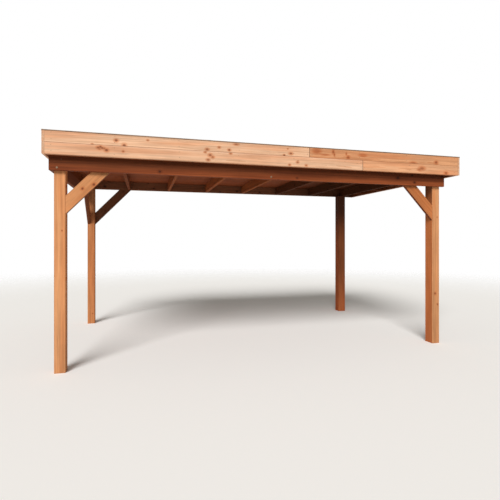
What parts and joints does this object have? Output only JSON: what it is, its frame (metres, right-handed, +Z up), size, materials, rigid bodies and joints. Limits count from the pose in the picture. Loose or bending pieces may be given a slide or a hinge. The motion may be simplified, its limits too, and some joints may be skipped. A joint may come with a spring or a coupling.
{
  "type": "wooden patio cover",
  "caption": "Free-standing flat-roofed timber patio cover on corner posts, with diagonal braces, exposed rafters and a deep boarded fascia.",
  "frame": {"origin": "on the floor, under the centre of the roof rectangle", "axes": "+X along the long front, to the right as seen from the front; +Y from front to back; +Z up"},
  "size_m": [5.469, 3.032, 2.694],
  "materials": {
    "post_timber": "planed softwood",
    "beam_timber": "planed softwood",
    "brace_timber": "planed softwood",
    "roof_timber": "planed softwood",
    "fascia_board": "planed softwood boards",
    "deck_board": "grooved softwood boards",
    "membrane": "matt sheet",
    "edge_trim": "mill finish, weathered"
  },
  "bodies": {
    "root": {"post_front_left": "post_timber", "post_front_right": "post_timber", "post_back_left": "post_timber", "post_back_right": "post_timber", "front_beam": "beam_timber", "left_side_beam": "beam_timber", "brace_front_left": "brace_timber", "brace_front_right": "brace_timber", "brace_back_left": "brace_timber", "brace_side_left": "brace_timber", "back_beam": "roof_timber", "front_rim": "roof_timber", "left_rim": "roof_timber", "right_rim": "roof_timber", "rafter_1": "roof_timber", "rafter_2": "roof_timber", "rafter_3": "roof_timber", "rafter_4": "roof_timber", "rafter_5": "roof_timber", "rafter_6": "roof_timber", "rafter_7": "roof_timber", "right_noggings": "roof_timber", "fascia_front_upper_left": "fascia_board", "fascia_front_upper_right": "fascia_board", "fascia_front_lower_left": "fascia_board", "fascia_front_lower_right": "fascia_board", "fascia_back_upper_left": "fascia_board", "fascia_back_upper_right": "fascia_board", "fascia_back_lower_left": "fascia_board", "fascia_back_lower_right": "fascia_board", "fascia_left_upper": "fascia_board", "fascia_left_lower": "fascia_board", "fascia_right_upper": "fascia_board", "fascia_right_lower": "fascia_board", "roof_deck": "deck_board", "kerb_front": "roof_timber", "kerb_back": "roof_timber", "kerb_left": "roof_timber", "kerb_right": "roof_timber", "roof_membrane": "membrane", "edge_trim_front": "edge_trim", "edge_trim_right": "edge_trim", "edge_trim_back": "edge_trim", "edge_trim_left": "edge_trim"}
  },
  "joints": []
}
